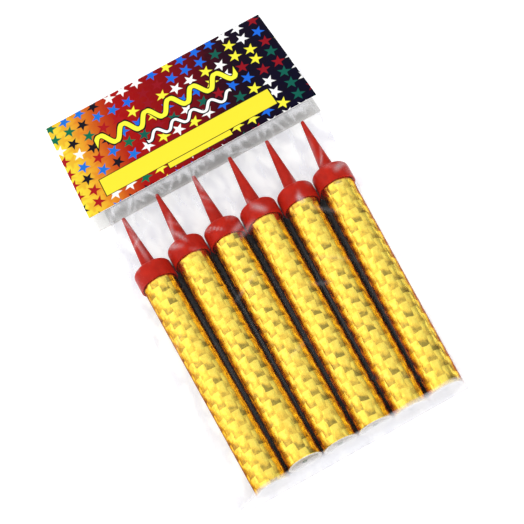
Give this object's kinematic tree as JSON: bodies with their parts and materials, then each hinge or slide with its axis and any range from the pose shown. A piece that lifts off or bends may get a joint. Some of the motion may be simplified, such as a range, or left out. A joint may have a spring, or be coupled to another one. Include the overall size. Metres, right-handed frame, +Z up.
{
  "type": "sparkler candle pack",
  "caption": "Pack of cake sparkler candles: gold foil tubes with red stake caps, side by side in a clear bag under a folded header card.",
  "frame": {"origin": "middle of the footprint, on the surface that the pack lies on", "axes": "+Z up; +Y from the closed end of the bag to the fold of the header card; +X across the candles"},
  "size_m": [0.1286, 0.2338, 0.0201],
  "materials": {
    "gold_holographic_foil": "gloss",
    "white_paper_board": "matte",
    "red_moulded_polyethylene": "satin",
    "pale_pressed_clay": "matte",
    "grey_pressed_filling": "matte",
    "twisted_fuse_cord": "matte",
    "clear_film": "gloss",
    "printed_card": "satin",
    "hot_melt_glue": "satin"
  },
  "bodies": {
    "pack": {"poly_bag": "clear_film", "header_card": "printed_card", "glue_strip_front": "hot_melt_glue", "glue_strip_back": "hot_melt_glue"},
    "candle_1": {"candle_1_paper_tube": "white_paper_board", "candle_1_foil_wrap": "gold_holographic_foil", "candle_1_filling": "grey_pressed_filling", "candle_1_clay_plug": "pale_pressed_clay", "candle_1_clay_choke": "pale_pressed_clay", "candle_1_fuse": "twisted_fuse_cord"},
    "cap_1": {"candle_1_stake_cap": "red_moulded_polyethylene"},
    "candle_2": {"candle_2_paper_tube": "white_paper_board", "candle_2_foil_wrap": "gold_holographic_foil", "candle_2_filling": "grey_pressed_filling", "candle_2_clay_plug": "pale_pressed_clay", "candle_2_clay_choke": "pale_pressed_clay", "candle_2_fuse": "twisted_fuse_cord"},
    "cap_2": {"candle_2_stake_cap": "red_moulded_polyethylene"},
    "candle_3": {"candle_3_paper_tube": "white_paper_board", "candle_3_foil_wrap": "gold_holographic_foil", "candle_3_filling": "grey_pressed_filling", "candle_3_clay_plug": "pale_pressed_clay", "candle_3_clay_choke": "pale_pressed_clay", "candle_3_fuse": "twisted_fuse_cord"},
    "cap_3": {"candle_3_stake_cap": "red_moulded_polyethylene"},
    "candle_4": {"candle_4_paper_tube": "white_paper_board", "candle_4_foil_wrap": "gold_holographic_foil", "candle_4_filling": "grey_pressed_filling", "candle_4_clay_plug": "pale_pressed_clay", "candle_4_clay_choke": "pale_pressed_clay", "candle_4_fuse": "twisted_fuse_cord"},
    "cap_4": {"candle_4_stake_cap": "red_moulded_polyethylene"},
    "candle_5": {"candle_5_paper_tube": "white_paper_board", "candle_5_foil_wrap": "gold_holographic_foil", "candle_5_filling": "grey_pressed_filling", "candle_5_clay_plug": "pale_pressed_clay", "candle_5_clay_choke": "pale_pressed_clay", "candle_5_fuse": "twisted_fuse_cord"},
    "cap_5": {"candle_5_stake_cap": "red_moulded_polyethylene"},
    "candle_6": {"candle_6_paper_tube": "white_paper_board", "candle_6_foil_wrap": "gold_holographic_foil", "candle_6_filling": "grey_pressed_filling", "candle_6_clay_plug": "pale_pressed_clay", "candle_6_clay_choke": "pale_pressed_clay", "candle_6_fuse": "twisted_fuse_cord"},
    "cap_6": {"candle_6_stake_cap": "red_moulded_polyethylene"}
  },
  "joints": [
    {"name": "candle_1_slide", "type": "slide", "parent": "pack", "child": "candle_1", "axis": [-0.0469, 0.9989, 0.0094], "range_m": [0, 0.0025]},
    {"name": "cap_1_pull", "type": "slide", "parent": "candle_1", "child": "cap_1", "axis": [-0.0469, 0.9989, 0.0094], "range_m": [0, 0.009]},
    {"name": "candle_2_slide", "type": "slide", "parent": "pack", "child": "candle_2", "axis": [-0.0282, 0.9996, 0.0094], "range_m": [0, 0.0025]},
    {"name": "cap_2_pull", "type": "slide", "parent": "candle_2", "child": "cap_2", "axis": [-0.0282, 0.9996, 0.0094], "range_m": [0, 0.009]},
    {"name": "candle_3_slide", "type": "slide", "parent": "pack", "child": "candle_3", "axis": [-0.0094, 0.9999, 0.0094], "range_m": [0, 0.0025]},
    {"name": "cap_3_pull", "type": "slide", "parent": "candle_3", "child": "cap_3", "axis": [-0.0094, 0.9999, 0.0094], "range_m": [0, 0.009]},
    {"name": "candle_4_slide", "type": "slide", "parent": "pack", "child": "candle_4", "axis": [0.0094, 0.9999, 0.0094], "range_m": [0, 0.0025]},
    {"name": "cap_4_pull", "type": "slide", "parent": "candle_4", "child": "cap_4", "axis": [0.0094, 0.9999, 0.0094], "range_m": [0, 0.009]},
    {"name": "candle_5_slide", "type": "slide", "parent": "pack", "child": "candle_5", "axis": [0.0282, 0.9996, 0.0094], "range_m": [0, 0.0025]},
    {"name": "cap_5_pull", "type": "slide", "parent": "candle_5", "child": "cap_5", "axis": [0.0282, 0.9996, 0.0094], "range_m": [0, 0.009]},
    {"name": "candle_6_slide", "type": "slide", "parent": "pack", "child": "candle_6", "axis": [0.0469, 0.9989, 0.0094], "range_m": [0, 0.0025]},
    {"name": "cap_6_pull", "type": "slide", "parent": "candle_6", "child": "cap_6", "axis": [0.0469, 0.9989, 0.0094], "range_m": [0, 0.009]}
  ]
}
